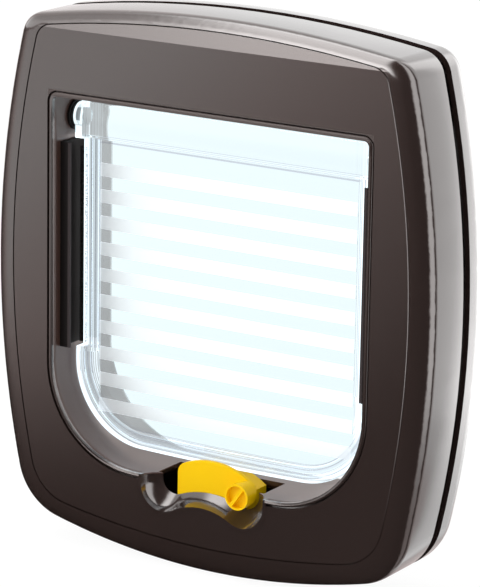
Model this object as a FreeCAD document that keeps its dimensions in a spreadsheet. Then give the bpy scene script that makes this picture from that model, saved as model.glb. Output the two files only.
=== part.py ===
"""Cat flap for a door: two frames that clamp the door between them, a clear swinging
flap on two pivots, a rotary lock lever under the sill and draught strips beside the flap.

Millimetres. +Z is up, +X is to the right and -Y is towards the room, where the cover plate
and the lever are. The origin is in the middle of the outline, on the door face that the
front frame's rim bears on, so Y runs through the door and towards the far side.
"""
import FreeCAD, Part
import math
import os
import Sketcher
from FreeCAD import Placement, Rotation, Vector

doc = FreeCAD.newDocument("cat_flap")
sheet = doc.addObject("Spreadsheet::Sheet", "Sizes")


class Size:
    """A length or an angle: its number, and the sheet formula that the number comes from."""

    def __init__(self, value, formula):
        self.value = float(value)
        self.formula = formula

    def __add__(self, other):
        other = as_size(other)
        return Size(self.value + other.value, "(%s + %s)" % (self.formula, other.formula))

    def __sub__(self, other):
        other = as_size(other)
        return Size(self.value - other.value, "(%s - %s)" % (self.formula, other.formula))

    def __mul__(self, other):
        other = as_size(other)
        return Size(self.value * other.value, "(%s * %s)" % (self.formula, other.formula))

    def __truediv__(self, other):
        other = as_size(other)
        return Size(self.value / other.value, "(%s / %s)" % (self.formula, other.formula))

    def __radd__(self, other):
        return as_size(other) + self

    def __rsub__(self, other):
        return as_size(other) - self

    def __rmul__(self, other):
        return as_size(other) * self

    def __neg__(self):
        return Size(-self.value, "(0 - %s)" % self.formula)


def as_size(number):
    """A plain number or a Size, as a Size."""
    if isinstance(number, Size):
        return number
    return Size(number, "%.10g" % number)


cell_count = 0


def cell(alias, value):
    """Put one driving size in the sheet under its alias."""
    global cell_count
    cell_count += 1
    sheet.set("A%d" % cell_count, alias)
    sheet.set("B%d" % cell_count, "%.10g" % value)
    sheet.setAlias("B%d" % cell_count, alias)
    return Size(value, "Sizes.%s" % alias)


def bind(thing, name, amount):
    """Give a property its number and tie it to the sheet."""
    thing.setExpression(name, as_size(amount).formula)


ZERO = as_size(0)

# Outline of the two frames: four large arcs with rounded corners between them
rim_half_width = cell("rim_half_width", 114.1)
rim_top = cell("rim_top", 126.1)
rim_bottom = cell("rim_bottom", 126.0)
rim_side_radius = cell("rim_side_radius", 446.8)
rim_side_centre = cell("rim_side_centre", 3.35)
rim_top_radius = cell("rim_top_radius", 571.0)
rim_bottom_radius = cell("rim_bottom_radius", 330.0)
rim_top_corner = cell("rim_top_corner", 12.0)
rim_bottom_corner = cell("rim_bottom_corner", 28.8)

# Outline of the seam round the cover plate, inside the border
border_side = cell("border_side", 10.65)
border_top = cell("border_top", 5.0)
border_bottom = cell("border_bottom", 12.35)
seam_half_width = rim_half_width - border_side
seam_top = rim_top - border_top
seam_bottom = rim_bottom - border_bottom
seam_side_radius = cell("seam_side_radius", 427.6)
seam_side_centre = cell("seam_side_centre", 5.2)
seam_top_radius = cell("seam_top_radius", 570.5)
seam_bottom_radius = cell("seam_bottom_radius", 406.0)
seam_top_corner = cell("seam_top_corner", 9.0)
seam_bottom_corner = cell("seam_bottom_corner", 23.1)

# Tunnel opening, inside the plate
plate_side = cell("plate_side", 21.75)
plate_top = cell("plate_top", 38.6)
plate_bottom = cell("plate_bottom", 28.5)
opening_half_width = seam_half_width - plate_side
opening_top = seam_top - plate_top
opening_bottom = seam_bottom - plate_bottom
opening_sill_radius = cell("opening_sill_radius", 1790.0)
opening_top_corner = cell("opening_top_corner", 2.6)
opening_bottom_corner = cell("opening_bottom_corner", 44.7)

# Front frame
front_depth = cell("front_depth", 28.0)
bevel_depth = cell("bevel_depth", 6.4)
frame_wall = cell("frame_wall", 2.4)
panel_thickness = cell("panel_thickness", 2.0)
cover_thickness = cell("cover_thickness", 2.4)
cover_gap = cell("cover_gap", 0.25)
lip_width = cell("lip_width", 2.1)
lip_round = cell("lip_round", 1.0)
lip_gap = cell("lip_gap", 0.6)
edge_round = cell("edge_round", 0.4)
cover_hole_gap = cell("cover_hole_gap", 0.2)
peg_radius = cell("peg_radius", 2.0)
peg_play = cell("peg_play", 0.15)
peg_reach = cell("peg_reach", 3.0)
peg_inset = cell("peg_inset", 10.0)
peg_spread = cell("peg_spread", 30.0)
peg_head_across = cell("peg_head_across", 40.0)
peg_foot_across = cell("peg_foot_across", 52.0)
collar_wall = cell("collar_wall", 2.0)
collar_reach = cell("collar_reach", 4.0)

# Rear frame
door_gap = cell("door_gap", 6.0)
rear_skirt = cell("rear_skirt", 5.0)
rear_bevel_depth = cell("rear_bevel_depth", 13.5)
rear_border = cell("rear_border", 12.0)
rear_border_wall = cell("rear_border_wall", 1.0)
rear_plate = cell("rear_plate", 2.4)
collar_clearance = cell("collar_clearance", 0.6)
collar_setback = cell("collar_setback", 1.0)

# Flap and its pivots, hung from the tunnel's ceiling
flap_top_gap = cell("flap_top_gap", 2.6)
flap_side_gap = cell("flap_side_gap", 2.7)
flap_sill_gap = cell("flap_sill_gap", 5.75)
header_above = cell("header_above", 8.4)
header_below = cell("header_below", 8.9)
header_half_depth = cell("header_half_depth", 5.5)
header_round = cell("header_round", 1.6)
pivot_depth = cell("pivot_depth", 18.6)
knuckle_radius = cell("knuckle_radius", 6.2)
knuckle_width = cell("knuckle_width", 4.0)
arm_half_depth = cell("arm_half_depth", 4.6)
stub_radius = cell("stub_radius", 3.0)
stub_length = cell("stub_length", 4.6)
flap_half_depth = cell("flap_half_depth", 3.1)
flap_head_corner = cell("flap_head_corner", 1.0)
flap_shoulder_wall = cell("flap_shoulder_wall", 2.0)
flap_shoulder_gap = cell("flap_shoulder_gap", 1.1)
flap_corner = cell("flap_corner", 37.0)
flap_step = cell("flap_step", 1.85)
field_thickness = cell("field_thickness", 2.4)
band_pitch = cell("band_pitch", 12.2)
band_drop = cell("band_drop", 11.7)
band_end_gap = cell("band_end_gap", 0.4)
band_relief = cell("band_relief", 0.3)
BAND_COUNT = 10
header_top = opening_top - flap_top_gap
pivot_height = header_top - header_above
header_bottom = pivot_height - header_below
band_top = header_bottom - band_drop
flap_bottom = opening_bottom - flap_sill_gap
flap_foot = opening_half_width - flap_side_gap
flap_waist = flap_foot - knuckle_width

# Hinge bushes and their houses in the tunnel walls
bush_flange_radius = cell("bush_flange_radius", 7.1)
bush_flange = cell("bush_flange", 1.2)
bush_ring_edge = cell("bush_ring_edge", 0.6)
bush_ring_width = cell("bush_ring_width", 0.9)
bush_ring_depth = cell("bush_ring_depth", 0.4)
bush_body_radius = cell("bush_body_radius", 5.0)
bush_length = cell("bush_length", 6.4)
bush_end_gap = cell("bush_end_gap", 0.2)
bush_clearance = cell("bush_clearance", 0.08)
house_wall = cell("house_wall", 1.8)

# Draught strips, under the pivots
strip_pivot_gap = cell("strip_pivot_gap", 10.8)
strip_corner_gap = cell("strip_corner_gap", 5.95)
strip_base = cell("strip_base", 1.2)
strip_flange = cell("strip_flange", 1.0)
strip_half_depth = cell("strip_half_depth", 12.2)
strip_tip_gap = cell("strip_tip_gap", 1.3)
pile_half_depth = cell("pile_half_depth", 2.0)
pile_tip_gap = cell("pile_tip_gap", 0.2)
pile_head_gap = cell("pile_head_gap", 3.0)
strip_top = pivot_height - strip_pivot_gap
strip_bottom = opening_bottom - opening_bottom_corner - strip_corner_gap
strip_tip = flap_waist + strip_tip_gap
flap_shoulder = strip_bottom + flap_shoulder_gap

# Lock lever, turning on a post behind the sill
hub_drop = cell("hub_drop", 27.35)
blade_rise = cell("blade_rise", 9.65)
blade_left = cell("blade_left", 18.2)
blade_right = cell("blade_right", 22.3)
blade_corner = cell("blade_corner", 5.5)
blade_flank = cell("blade_flank", 10.0)
blade_thickness = cell("blade_thickness", 2.2)
lever_clearance = cell("lever_clearance", 0.4)
drum_gap = cell("drum_gap", 0.9)
drum_wall = cell("drum_wall", 1.8)
drum_depth = cell("drum_depth", 13.4)
drum_setback = cell("drum_setback", 3.0)
slot_end_gap = cell("slot_end_gap", 2.9)
slot_back_gap = cell("slot_back_gap", 2.0)
hub_radius = cell("hub_radius", 5.5)
post_radius = cell("post_radius", 2.6)
post_clearance = cell("post_clearance", 0.08)
post_proud = cell("post_proud", 0.2)
pilot_radius = cell("pilot_radius", 1.25)
pilot_depth = cell("pilot_depth", 8.0)
washer_radius = cell("washer_radius", 5.0)
washer_thickness = cell("washer_thickness", 1.0)
washer_play = cell("washer_play", 0.2)
lever_screw_head = cell("lever_screw_head", 3.6)
lever_drop = opening_bottom + hub_drop
lever_radius = hub_drop + blade_rise
drum_radius = lever_drop - flap_bottom - drum_gap
slot_half_width = lever_radius * 0.68 + slot_end_gap

# Knob on the lever
knob_radius = cell("knob_radius", 6.0)
knob_turn = cell("knob_turn", 55.3)
knob_rim = cell("knob_rim", 0.9)
knob_bar = cell("knob_bar", 1.5)
knob_dish = cell("knob_dish", 2.6)
knob_reach = cell("knob_reach", 7.2)
knob_across = cell("knob_across", 17.8)
knob_sink = cell("knob_sink", 1.65)
knob_up = hub_drop - knob_sink

# Finger scoop in the sill: two wells with a hump between them
scoop_depth = cell("scoop_depth", 8.0)
scoop_wall = cell("scoop_wall", 1.8)
scoop_half_width = cell("scoop_half_width", 32.4)
scoop_well_radius = cell("scoop_well_radius", 11.5)
scoop_well_drop = cell("scoop_well_drop", 15.25)
scoop_hump_radius = cell("scoop_hump_radius", 31.0)
scoop_back_hump_radius = cell("scoop_back_hump_radius", 42.2)
scoop_sag = cell("scoop_sag", 0.32)
scoop_sag_depth = cell("scoop_sag_depth", 4.4)
knob_play = cell("knob_play", 1.0)
knob_offset = cell("knob_offset", 0.8)
scoop_well_bottom = opening_bottom + scoop_well_drop
scoop_back_well_radius = knob_radius + knob_play
scoop_back_half_width = knob_across + knob_offset + scoop_back_well_radius
scoop_back_well_bottom = opening_bottom + knob_sink + scoop_back_well_radius

# Clamp screws, outside the tunnel
screw_side_gap = cell("screw_side_gap", 2.3)
screw_top_gap = cell("screw_top_gap", 14.5)
screw_low_inset = cell("screw_low_inset", 4.7)
screw_low_rise = cell("screw_low_rise", 2.15)
boss_radius = cell("boss_radius", 5.0)
boss_setback = cell("boss_setback", 0.4)
screw_head_radius = cell("screw_head_radius", 3.9)
screw_head = cell("screw_head", 2.4)
screw_head_edge = cell("screw_head_edge", 0.8)
screw_seat = cell("screw_seat", 2.6)
screw_radius = cell("screw_radius", 2.0)
screw_length = cell("screw_length", 39.0)
screw_point = cell("screw_point", 1.5)
screw_clearance = cell("screw_clearance", 0.3)
screw_grip = cell("screw_grip", 0.03)
recess_reach = cell("recess_reach", 2.3)
recess_half_width = cell("recess_half_width", 0.5)
recess_depth = cell("recess_depth", 1.2)
screw_across = opening_half_width + screw_side_gap
screw_up = opening_top + screw_top_gap
screw_low_across = opening_half_width - screw_low_inset
screw_down = opening_bottom - screw_low_rise

# How far a cutting tool runs past what it cuts, and a joined piece into its neighbour
past = cell("past", 1.0)
seat_in = cell("seat_in", 0.01)

doc.recompute()

# Levels through the door, as Y values
front_face = -front_depth
bevel_back = bevel_depth - front_depth
cover_back = cover_thickness - front_depth
panel_back = cover_back + panel_thickness
scoop_back = scoop_depth - front_depth
blade_front = scoop_back + lever_clearance
blade_back = blade_front + blade_thickness
post_end = blade_back + drum_depth + post_proud
flap_plane = pivot_depth - front_depth
rear_bevel_front = door_gap + rear_skirt
rear_face = rear_bevel_front + rear_bevel_depth
screw_tip_level = cover_back + screw_seat + screw_length

# A sketch plane stood upright: its x is the width and its y the height, seen from the room
UPRIGHT = Rotation(Vector(1, 0, 0), 90)
ALONG_DEPTH = Rotation(Vector(1, 0, 0), -90)
ALONG_WIDTH = Rotation(Vector(0, 1, 0), 90)


POINTS = ("edge", "start", "end", "centre")


class Drawing:
    """A sketch of arcs and lines whose measures are tied to the sheet."""

    def __init__(self, sketch):
        self.sketch = sketch

    def arc(self, centre, radius, start, end):
        circle = Part.Circle(Vector(centre[0], centre[1], 0), Vector(0, 0, 1), radius)
        return self.sketch.addGeometry(Part.ArcOfCircle(circle, start, end), False)

    def line(self, start, end):
        segment = Part.LineSegment(Vector(start[0], start[1], 0), Vector(end[0], end[1], 0))
        return self.sketch.addGeometry(segment, False)

    def rule(self, *terms):
        return self.sketch.addConstraint(Sketcher.Constraint(terms[0], *[
            POINTS.index(term) if term in POINTS else term for term in terms[1:]]))

    def measure(self, amount, *terms):
        index = self.rule(*terms, as_size(amount).value)
        self.sketch.setExpression("Constraints[%d]" % index, as_size(amount).formula)

    def at(self, geometry, point, across, up):
        """Hold one point of a shape at a measured place."""
        if across is ZERO:
            self.rule("PointOnObject", geometry, point, -2)
        else:
            self.measure(across, "DistanceX", -1, 1, geometry, point)
        if up is ZERO:
            self.rule("PointOnObject", geometry, point, -1)
        else:
            self.measure(up, "DistanceY", -1, 1, geometry, point)

    def radius(self, geometry, amount):
        self.measure(amount, "Radius", geometry)

    def tangent(self, first, first_point, second, second_point):
        self.rule("Tangent", first, first_point, second, second_point)


START, END, CENTRE = "start", "end", "centre"


def drawing(name, depth):
    """A drawing in the upright plane at a depth through the door."""
    sketch = doc.addObject("Sketcher::SketchObject", name)
    sketch.Placement = Placement(Vector(0, depth.value, 0), UPRIGHT)
    sketch.setExpression("Placement.Base.y", depth.formula)
    return Drawing(sketch)


def meet(first, first_reach, second, second_reach, side):
    """Where two circles cross; side picks the crossing to the left or right of first to second."""
    dx = second[0] - first[0]
    dy = second[1] - first[1]
    gap = math.hypot(dx, dy)
    along = (gap * gap + first_reach * first_reach - second_reach * second_reach) / (2 * gap)
    off = side * math.sqrt(max(first_reach * first_reach - along * along, 0.0))
    return (first[0] + (along * dx - off * dy) / gap, first[1] + (along * dy + off * dx) / gap)


def heading(start, end):
    """The direction from one point to another, from 0 to a full turn."""
    return math.atan2(end[1] - start[1], end[0] - start[0]) % (2 * math.pi)


def barrel(name, depth, shape, inset=ZERO):
    """A closed outline of four large arcs, symmetrical left to right, with rounded corners."""
    plan = drawing(name, depth)
    width, top, bottom, side_r, side_z, top_r, bottom_r, upper_r, lower_r = shape
    side_r = side_r - inset
    top_r = top_r - inset
    bottom_r = bottom_r - inset
    upper_r = upper_r - inset
    lower_r = lower_r - inset
    side_x = side_r - (width - inset)
    top_z = top - inset - top_r
    bottom_z = bottom_r - (bottom - inset)
    right = (-side_x.value, side_z.value)
    left = (side_x.value, side_z.value)
    above = (0.0, top_z.value)
    below = (0.0, bottom_z.value)
    upper = meet(right, side_r.value - upper_r.value, above, top_r.value - upper_r.value, -1)
    if upper[0] < 0:
        upper = meet(right, side_r.value - upper_r.value, above, top_r.value - upper_r.value, 1)
    lower = meet(right, side_r.value - lower_r.value, below, bottom_r.value - lower_r.value, 1)
    if lower[0] < 0:
        lower = meet(right, side_r.value - lower_r.value, below, bottom_r.value - lower_r.value, -1)
    upper_left = (-upper[0], upper[1])
    lower_left = (-lower[0], lower[1])
    arcs = [
        plan.arc(right, side_r.value, heading(right, lower), heading(right, upper) + 2 * math.pi),
        plan.arc(upper, upper_r.value, heading(right, upper), heading(above, upper)),
        plan.arc(above, top_r.value, heading(above, upper), heading(above, upper_left)),
        plan.arc(upper_left, upper_r.value, heading(above, upper_left), heading(left, upper_left)),
        plan.arc(left, side_r.value, heading(left, upper_left), heading(left, lower_left)),
        plan.arc(lower_left, lower_r.value, heading(left, lower_left), heading(below, lower_left)),
        plan.arc(below, bottom_r.value, heading(below, lower_left), heading(below, lower)),
        plan.arc(lower, lower_r.value, heading(below, lower), heading(right, lower)),
    ]
    for index, arc in enumerate(arcs):
        plan.tangent(arc, END, arcs[(index + 1) % len(arcs)], START)
    radii = [side_r, upper_r, top_r, upper_r, side_r, lower_r, bottom_r, lower_r]
    for arc, radius in zip(arcs, radii):
        plan.radius(arc, radius)
    plan.at(arcs[0], CENTRE, -side_x, side_z)
    plan.at(arcs[4], CENTRE, side_x, side_z)
    plan.at(arcs[2], CENTRE, ZERO, top_z)
    plan.at(arcs[6], CENTRE, ZERO, bottom_z)
    return plan.sketch


def tub(name, depth, half_width, top, bottom, sill_r, top_r, bottom_r, outset=ZERO):
    """A closed outline with upright sides, a level top and a gently bowed, round-cornered foot."""
    plan = drawing(name, depth)
    half_width = half_width + outset
    top = top + outset
    bottom = bottom + outset
    sill_r = sill_r + outset
    top_r = top_r + outset
    bottom_r = bottom_r + outset
    w = half_width.value
    below = (0.0, sill_r.value - bottom.value)
    foot_x = w - bottom_r.value
    foot_z = below[1] - math.sqrt((sill_r.value - bottom_r.value) ** 2 - foot_x ** 2)
    head_x = w - top_r.value
    head_z = top.value - top_r.value
    turn = heading(below, (foot_x, foot_z))
    turn_left = heading(below, (-foot_x, foot_z))
    right = plan.line((w, foot_z), (w, head_z))
    upper = plan.arc((head_x, head_z), top_r.value, 0, math.pi / 2)
    level = plan.line((head_x, top.value), (-head_x, top.value))
    upper_left = plan.arc((-head_x, head_z), top_r.value, math.pi / 2, math.pi)
    left = plan.line((-w, head_z), (-w, foot_z))
    lower_left = plan.arc((-foot_x, foot_z), bottom_r.value, math.pi, turn_left)
    sill = plan.arc(below, sill_r.value, turn_left, turn)
    lower = plan.arc((foot_x, foot_z), bottom_r.value, turn, 2 * math.pi)
    loop = [right, upper, level, upper_left, left, lower_left, sill, lower]
    for index, piece in enumerate(loop):
        plan.tangent(piece, END, loop[(index + 1) % len(loop)], START)
    plan.rule("Vertical", right)
    plan.rule("Vertical", left)
    plan.rule("Horizontal", level)
    plan.measure(half_width, "DistanceX", -1, 1, right, START)
    plan.measure(-half_width, "DistanceX", -1, 1, left, START)
    plan.measure(top, "DistanceY", -1, 1, level, START)
    plan.at(sill, CENTRE, ZERO, sill_r - bottom)
    for piece, radius in ((upper, top_r), (upper_left, top_r), (lower_left, bottom_r),
                          (sill, sill_r), (lower, bottom_r)):
        plan.radius(piece, radius)
    return plan.sketch


def wave(name, depth, half_width, well_r, well_bottom, hump_r, ceiling, outset=ZERO):
    """The scoop's outline: two round wells with a hump between them, open above the sill."""
    plan = drawing(name, depth)
    half_width = half_width + outset
    well_r = well_r + outset
    well_bottom = well_bottom + outset
    hump_r = hump_r - outset
    well_x = half_width - well_r
    well_z = well_r - well_bottom
    rise = math.sqrt((hump_r.value + well_r.value) ** 2 - well_x.value ** 2)
    hump = (0.0, well_z.value - rise)
    right_well = (well_x.value, well_z.value)
    left_well = (-well_x.value, well_z.value)
    w = half_width.value
    z = ceiling.value
    level = plan.line((w, z), (-w, z))
    left = plan.line((-w, z), (-w, well_z.value))
    well_left = plan.arc(left_well, well_r.value, math.pi, heading(left_well, hump))
    crest = plan.arc(hump, hump_r.value, heading(hump, right_well), heading(hump, left_well))
    well_right = plan.arc(right_well, well_r.value, heading(right_well, hump), 2 * math.pi)
    right = plan.line((w, well_z.value), (w, z))
    plan.rule("Coincident", level, END, left, START)
    plan.tangent(left, END, well_left, START)
    plan.tangent(well_left, END, crest, END)
    plan.tangent(crest, START, well_right, START)
    plan.tangent(well_right, END, right, START)
    plan.rule("Coincident", right, END, level, START)
    plan.rule("Horizontal", level)
    plan.rule("Vertical", left)
    plan.rule("Vertical", right)
    plan.measure(ceiling, "DistanceY", -1, 1, level, START)
    plan.at(well_left, CENTRE, -well_x, well_z)
    plan.at(well_right, CENTRE, well_x, well_z)
    plan.radius(well_left, well_r)
    plan.radius(well_right, well_r)
    plan.radius(crest, hump_r)
    return plan.sketch


def outline(plan, points):
    """Straight edges from point to point, each point held by its two measures."""
    edges = []
    for index, point in enumerate(points):
        after = points[(index + 1) % len(points)]
        edges.append(plan.line((point[0].value, point[1].value), (after[0].value, after[1].value)))
    for index, edge in enumerate(edges):
        plan.rule("Coincident", edge, END, edges[(index + 1) % len(edges)], START)
        plan.at(edge, START, points[index][0], points[index][1])
    return edges


def extrude(name, base, length):
    """Sweep a drawing straight through the door, away from the room."""
    body = doc.addObject("Part::Extrusion", name)
    body.Base = base
    body.DirMode = "Custom"
    body.Dir = Vector(0, 1, 0)
    body.Solid = True
    bind(body, "LengthFwd", length)
    return body


def loft(name, sections, ruled=False):
    body = doc.addObject("Part::Loft", name)
    body.Sections = sections
    body.Solid = True
    body.Ruled = ruled
    return body


def block(name, x0, x1, y0, y1, z0, z1):
    """A box between two values on each axis."""
    body = doc.addObject("Part::Box", name)
    for axis, low in (("x", x0), ("y", y0), ("z", z0)):
        bind(body, "Placement.Base.%s" % axis, low)
    for name, low, high in (("Length", x0, x1), ("Width", y0, y1), ("Height", z0, z1)):
        bind(body, name, as_size(high) - low)
    return body


def rod(name, turn, base, radius, length):
    """A round bar from a base point, along the depth or the width."""
    body = doc.addObject("Part::Cylinder", name)
    body.Placement = Placement(Vector(0, 0, 0), turn)
    for axis, place in zip("xyz", base):
        bind(body, "Placement.Base.%s" % axis, place)
    bind(body, "Radius", radius)
    bind(body, "Height", length)
    return body


def fuse(name, shapes):
    body = doc.addObject("Part::MultiFuse", name)
    body.Shapes = shapes
    return body


def cut(name, base, tools):
    """Take a list of tools away from a base."""
    tool = tools[0] if len(tools) == 1 else fuse(name + "_tools", tools)
    body = doc.addObject("Part::Cut", name)
    body.Base = base
    body.Tool = tool
    return body


nodes = []


def finish(name, body):
    """Name a finished sub-part."""
    body.Label = name
    nodes.append((name, body))
    return body


rim = (rim_half_width, rim_top, rim_bottom, rim_side_radius, rim_side_centre,
       rim_top_radius, rim_bottom_radius, rim_top_corner, rim_bottom_corner)
seam = (seam_half_width, seam_top, seam_bottom, seam_side_radius, seam_side_centre,
        seam_top_radius, seam_bottom_radius, seam_top_corner, seam_bottom_corner)
opening = (opening_half_width, opening_top, opening_bottom,
           opening_sill_radius, opening_top_corner, opening_bottom_corner)
scoop_edge = (scoop_half_width, scoop_well_radius, scoop_well_bottom, scoop_hump_radius)


def between(first, second, share):
    """An outline part of the way from one outline to another."""
    return tuple(a + (b - a) * share for a, b in zip(first, second))


def rounded_border(name, inner, outer, face, edge, steps=3):
    """A solid under a quarter-ellipse border, from its inner outline at the face to the rim."""
    sections = []
    for step in range(steps + 1):
        turn = math.pi / 2 * step / steps
        shape = between(inner, outer, round(math.sin(turn), 5))
        depth = face + (edge - face) * round(1 - math.cos(turn), 5)
        sections.append(barrel("%s_section_%d" % (name, step), depth, shape))
    return loft(name, sections)


def scoop_space(name, outset, ceiling):
    """The scoop's hollow: its front outline sags inwards as it sweeps back to the smaller one."""
    rear = (scoop_back_half_width, scoop_back_well_radius, scoop_back_well_bottom,
            scoop_back_hump_radius)
    sections = [
        wave(name + "_front", front_face, *scoop_edge, ceiling, outset),
        wave(name + "_middle", front_face + scoop_sag_depth, *between(scoop_edge, rear, scoop_sag),
             ceiling, outset),
        wave(name + "_back", scoop_back, *rear, ceiling, outset)]
    return loft(name, sections)


def screw_places():
    return [(-screw_across, screw_up), (screw_across, screw_up),
            (-screw_low_across, -screw_down), (screw_low_across, -screw_down)]


def peg_places():
    """Where the cover's pegs push through the panel: beside, above and below the opening."""
    side = seam_half_width - peg_inset
    head = (seam_top + opening_top) * 0.5
    foot = -(seam_bottom + opening_bottom) * 0.5
    return [(-side, peg_spread), (side, peg_spread), (-side, -peg_spread), (side, -peg_spread),
            (-peg_head_across, head), (peg_head_across, head),
            (-peg_foot_across, foot), (peg_foot_across, foot)]


def front_frame():
    """The room-side moulding: skirt, rounded border, panel, tunnel, scoop, bosses and post."""
    skirt = extrude("front_skirt", barrel("front_rim", bevel_back, rim), -bevel_back)
    border = rounded_border("front_border", seam, rim, front_face, bevel_back)
    outside = fuse("front_outside", [skirt, border])
    hollow = extrude("front_hollow", barrel("front_rim_inside", bevel_back, rim, frame_wall),
                     past - bevel_back)
    hollow_border = loft("front_hollow_border", [
        barrel("front_seam_inside", panel_back, seam),
        barrel("front_rim_inside_edge", bevel_back, rim, frame_wall)], ruled=True)
    recess = extrude("cover_recess", barrel("cover_recess_edge", front_face, seam), cover_thickness)
    shell = cut("front_shell", outside, [hollow, hollow_border, recess])

    lip = extrude("opening_lip", tub("lip_edge", front_face + lip_round, *opening, outset=lip_width),
                  front_depth - lip_round)
    nose = []
    for step in range(5):
        turn = math.pi / 2 * step / 4
        nose.append(tub("lip_nose_section_%d" % step, front_face + lip_round * (1 - math.cos(turn)),
                        *opening, outset=lip_width - lip_round * (1 - math.sin(turn))))
    lip_nose = loft("opening_lip_nose", nose, ruled=True)
    collar = extrude("front_collar", tub("collar_edge", cover_back, *opening, outset=collar_wall),
                     collar_reach - cover_back)
    scoop_shell = scoop_space("scoop_shell", scoop_wall, past - opening_bottom)
    bosses = []
    for index, (across, up) in enumerate(screw_places()):
        bosses.append(rod("front_boss_%d" % (index + 1), ALONG_DEPTH, (across, cover_back, up),
                          boss_radius, -cover_back - boss_setback))
    post = rod("lever_post", ALONG_DEPTH, (ZERO, cover_back, -lever_drop), post_radius,
               post_end - cover_back)
    houses = []
    for side, name in ((-1, "left"), (1, "right")):
        start = opening_half_width * side
        if side < 0:
            start = start - bush_length - house_wall
        houses.append(rod("bush_house_" + name, ALONG_WIDTH, (start, flap_plane, pivot_height),
                          bush_body_radius + house_wall, bush_length + house_wall))
    solid = fuse("front_solid", [shell, lip, lip_nose, collar, scoop_shell, post] + bosses + houses)

    passage = extrude("front_passage", tub("passage_edge", front_face - past, *opening),
                      front_depth + collar_reach + past * 2)
    scoop = scoop_space("scoop", ZERO, past * 3 - opening_bottom)
    slot = block("lever_slot", -slot_half_width, slot_half_width, scoop_back - seat_in,
                 blade_back + drum_depth + slot_back_gap, -opening_bottom - collar_wall * 3,
                 collar_wall - opening_bottom)
    pilot = rod("lever_pilot", ALONG_DEPTH, (ZERO, post_end - pilot_depth, -lever_drop),
                pilot_radius, pilot_depth + past)
    tools = [passage, scoop, slot, pilot]
    for index, (across, up) in enumerate(screw_places()):
        tools.append(rod("screw_way_%d" % (index + 1), ALONG_DEPTH, (across, cover_back - past, up),
                         screw_radius + screw_clearance, front_depth))
        tools.append(rod("screw_seat_%d" % (index + 1), ALONG_DEPTH, (across, cover_back - past, up),
                         screw_head_radius + screw_clearance, past + screw_seat))
    for index, (across, up) in enumerate(peg_places()):
        tools.append(rod("peg_hole_%d" % (index + 1), ALONG_DEPTH, (across, cover_back - past, up),
                         peg_radius + peg_play, panel_thickness + past * 2))
    for side, name in ((-1, "left"), (1, "right")):
        start = opening_half_width * side
        start = start - bush_length if side < 0 else start - past
        tools.append(rod("bush_seat_" + name, ALONG_WIDTH, (start, flap_plane, pivot_height),
                         bush_body_radius, bush_length + past))
    return finish("front_frame", cut("front_frame", solid, tools))


def front_cover_plate():
    """The plate that snaps over the panel and hides the four clamp screws."""
    slab = extrude("cover_slab", barrel("cover_edge", front_face + edge_round, seam, cover_gap),
                   cover_thickness - edge_round)
    brow = loft("cover_brow", [
        barrel("cover_brow_edge", front_face, seam, cover_gap + edge_round),
        barrel("cover_brow_root", front_face + edge_round, seam, cover_gap)], ruled=True)
    blank = fuse("cover_blank", [slab, brow])
    hole = extrude("cover_hole", tub("cover_hole_edge", front_face - past, *opening,
                                     outset=lip_width + lip_gap), cover_thickness + past * 2)
    scoop_hole = extrude("cover_scoop_hole", wave(
        "cover_scoop_edge", front_face - past, *scoop_edge, past * 3 - opening_bottom,
        scoop_wall + cover_hole_gap), cover_thickness + past * 2)
    plate = cut("cover_plate_face", blank, [hole, scoop_hole])
    pegs = [rod("cover_peg_%d" % (index + 1), ALONG_DEPTH, (across, cover_back - seat_in, up),
                peg_radius, panel_thickness + peg_reach)
            for index, (across, up) in enumerate(peg_places())]
    return finish("front_cover_plate", fuse("front_cover_plate", [plate] + pegs))


def rear_outline(inset):
    """The rim's outline drawn in, with the seam's corners."""
    return (rim_half_width - inset, rim_top - inset, rim_bottom - inset, rim_side_radius - inset,
            rim_side_centre, rim_top_radius - inset, rim_bottom_radius - inset,
            seam_top_corner, seam_bottom_corner)


def rear_frame():
    """The far-side moulding: its collar sleeves over the front one and its bosses take the screws."""
    skirt = extrude("rear_skirt_block", barrel("rear_rim", door_gap, rim), rear_skirt)
    face_outline = rear_outline(rear_border)
    border = rounded_border("rear_border_solid", face_outline, rim, rear_face, rear_bevel_front)
    outside = fuse("rear_outside", [skirt, border])
    hollow = extrude("rear_hollow", barrel("rear_rim_inside", door_gap - past, rim, frame_wall),
                     rear_skirt + past)
    inner_face = rear_outline(rear_border + rear_border_wall)
    hollow_border = loft("rear_hollow_border", [
        barrel("rear_rim_inside_edge", rear_bevel_front, rim, frame_wall),
        barrel("rear_face_inside", rear_face - rear_plate, inner_face)], ruled=True)
    shell = cut("rear_shell", outside, [hollow, hollow_border])
    sleeve = collar_wall + collar_clearance
    collar = extrude("rear_collar", tub("rear_collar_edge", collar_setback, *opening,
                                        outset=sleeve + collar_wall), rear_face - collar_setback)
    bosses = []
    for index, (across, up) in enumerate(screw_places()):
        start = door_gap + boss_setback
        bosses.append(rod("rear_boss_%d" % (index + 1), ALONG_DEPTH, (across, start, up),
                          boss_radius, rear_face - rear_plate * 0.5 - start))
    solid = fuse("rear_solid", [shell, collar] + bosses)
    passage = extrude("rear_passage", tub("rear_passage_edge", ZERO, *opening, outset=sleeve),
                      rear_face + past)
    tools = [passage]
    for index, (across, up) in enumerate(screw_places()):
        tools.append(rod("screw_hole_%d" % (index + 1), ALONG_DEPTH, (across, door_gap - past, up),
                         screw_radius + screw_grip, screw_tip_level - door_gap + past * 4))
    return finish("rear_frame", cut("rear_frame", solid, tools))


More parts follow.
